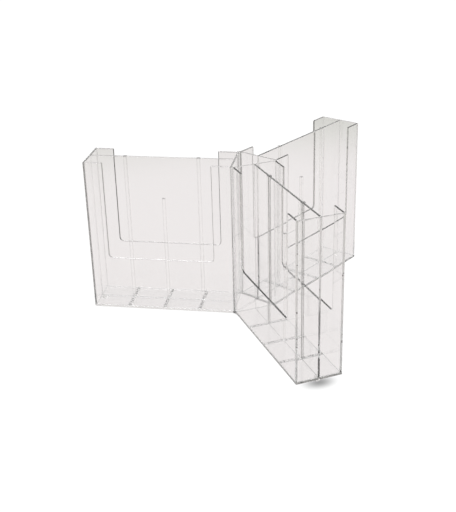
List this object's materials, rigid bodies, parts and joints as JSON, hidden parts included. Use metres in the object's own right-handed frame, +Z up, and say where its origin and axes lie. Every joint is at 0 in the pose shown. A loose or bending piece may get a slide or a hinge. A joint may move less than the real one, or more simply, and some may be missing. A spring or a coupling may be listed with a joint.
{
  "type": "magazine rack",
  "caption": "Tabletop magazine rack of clear acrylic: wings at equal angles round a hollow hub, each a double-sided open-topped pocket box with wide U-cut fronts.",
  "frame": {"origin": "on the hub's three-fold axis, at the level of the table that the feet stand on", "axes": "+Z up along the hub axis; wing_1 runs out along -X, wing_2 and wing_3 at 60 degrees either side of +X (towards -Y and +Y)"},
  "size_m": [0.4241, 0.4896, 0.26],
  "materials": {
    "clear_acrylic": "polished",
    "bumper": "satin"
  },
  "bodies": {
    "root": {"wing_1_floor": "clear_acrylic", "wing_1_inner_end_wall": "clear_acrylic", "wing_1_outer_end_wall": "clear_acrylic", "wing_1_centre_panel": "clear_acrylic", "wing_1_left_panel": "clear_acrylic", "wing_1_right_panel": "clear_acrylic", "wing_1_tall_guides": "clear_acrylic", "wing_1_short_guides": "clear_acrylic", "wing_1_floor_guides": "clear_acrylic", "wing_1_foot": "bumper", "wing_1_hub_corner_strip": "clear_acrylic", "wing_2_floor": "clear_acrylic", "wing_2_inner_end_wall": "clear_acrylic", "wing_2_outer_end_wall": "clear_acrylic", "wing_2_centre_panel": "clear_acrylic", "wing_2_left_panel": "clear_acrylic", "wing_2_right_panel": "clear_acrylic", "wing_2_tall_guides": "clear_acrylic", "wing_2_short_guides": "clear_acrylic", "wing_2_floor_guides": "clear_acrylic", "wing_2_foot": "bumper", "wing_2_hub_corner_strip": "clear_acrylic", "wing_3_floor": "clear_acrylic", "wing_3_inner_end_wall": "clear_acrylic", "wing_3_outer_end_wall": "clear_acrylic", "wing_3_centre_panel": "clear_acrylic", "wing_3_left_panel": "clear_acrylic", "wing_3_right_panel": "clear_acrylic", "wing_3_tall_guides": "clear_acrylic", "wing_3_short_guides": "clear_acrylic", "wing_3_floor_guides": "clear_acrylic", "wing_3_foot": "bumper", "wing_3_hub_corner_strip": "clear_acrylic"}
  },
  "joints": []
}
